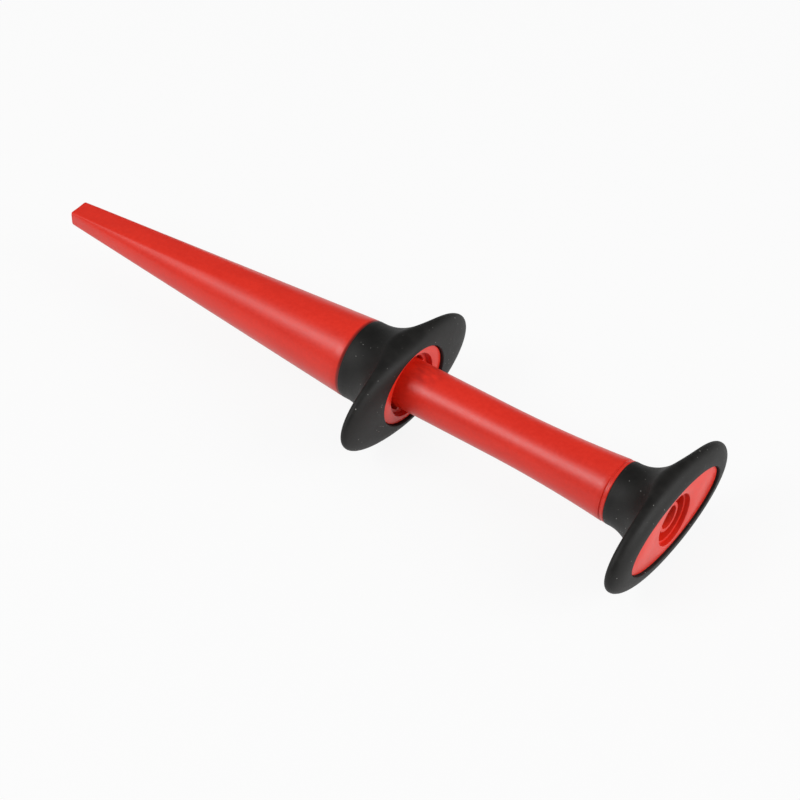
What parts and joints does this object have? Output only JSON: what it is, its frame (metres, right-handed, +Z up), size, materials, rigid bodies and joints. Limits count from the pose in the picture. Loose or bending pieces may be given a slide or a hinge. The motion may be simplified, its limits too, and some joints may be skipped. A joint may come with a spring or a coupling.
{
  "type": "grabber test hook",
  "caption": "Hand-held test clip with a tapered insulated nose, finger wings and a sprung plunger that pushes a small hook out of the nose tip; a rear socket takes a plug.",
  "frame": {"origin": "halfway along the tool, below its axis, at the lowest edge of the grips", "axes": "+X from the nose tip to the rear socket, +Y along the finger wings, +Z up"},
  "size_m": [0.1284, 0.036, 0.0178],
  "materials": {
    "red_plastic": "satin moulded",
    "black_rubber": "soft matte",
    "nickel_brass": "nickel plated",
    "spring_steel": "bright wire",
    "ivory_plastic": "thin insulating sleeve"
  },
  "bodies": {
    "barrel": {"nose_barrel": "red_plastic", "body_grip": "black_rubber", "guide_collar": "red_plastic", "spring_washer": "spring_steel", "return_spring": "spring_steel"},
    "plunger": {"plunger_tube": "red_plastic", "plunger_grip": "black_rubber", "socket_insert": "red_plastic", "jack_contact": "nickel_brass", "jack_clip_ring": "spring_steel", "jack_lock_washer": "spring_steel", "hook_rod": "nickel_brass", "hook_blade": "nickel_brass", "blade_rivet": "nickel_brass", "hook_jacket": "ivory_plastic"}
  },
  "joints": [
    {"name": "plunger_slide", "type": "slide", "parent": "barrel", "child": "plunger", "axis": [-1, 0, 0], "range_m": [0, 0.016], "stiffness_N_per_m": 480, "springref_m": -0.01, "deforming": ["return_spring"]}
  ]
}
